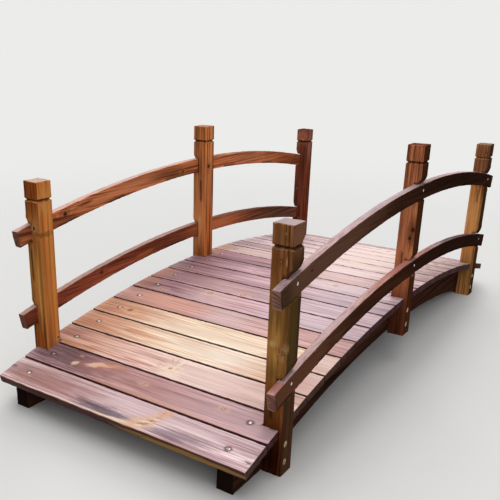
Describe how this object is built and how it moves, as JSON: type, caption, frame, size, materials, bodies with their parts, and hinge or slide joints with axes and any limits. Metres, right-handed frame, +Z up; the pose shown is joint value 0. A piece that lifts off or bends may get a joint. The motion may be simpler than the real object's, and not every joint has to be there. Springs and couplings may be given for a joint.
{
  "type": "moon bridge",
  "caption": "Arched wooden garden footbridge with crosswise deck boards, square capped posts and curved upper and lower rails on both sides.",
  "frame": {"origin": "on the ground, under the middle of the span", "axes": "+X along the span towards the far end, +Y across towards the left railing, +Z up"},
  "size_m": [1.9722, 0.846, 0.7018],
  "materials": {
    "side_beam": "dark stained softwood, matt",
    "post": "oiled softwood, satin",
    "rail": "oiled softwood, satin",
    "deck_board": "oiled softwood, satin, worn pale in places"
  },
  "bodies": {
    "root": {"right_beam": "side_beam", "left_beam": "side_beam", "near_right_post": "post", "middle_right_post": "post", "far_right_post": "post", "near_left_post": "post", "middle_left_post": "post", "far_left_post": "post", "upper_right_rail": "rail", "upper_left_rail": "rail", "lower_right_rail": "rail", "lower_left_rail": "rail", "deck_board_01": "deck_board", "deck_board_02": "deck_board", "deck_board_03": "deck_board", "deck_board_04": "deck_board", "deck_board_05": "deck_board", "deck_board_06": "deck_board", "deck_board_07": "deck_board", "deck_board_08": "deck_board", "deck_board_09": "deck_board", "deck_board_10": "deck_board", "deck_board_11": "deck_board", "deck_board_12": "deck_board", "deck_board_13": "deck_board", "deck_board_14": "deck_board", "deck_board_15": "deck_board", "deck_board_16": "deck_board", "deck_board_17": "deck_board", "deck_board_18": "deck_board", "deck_board_19": "deck_board", "deck_board_20": "deck_board"}
  },
  "joints": []
}
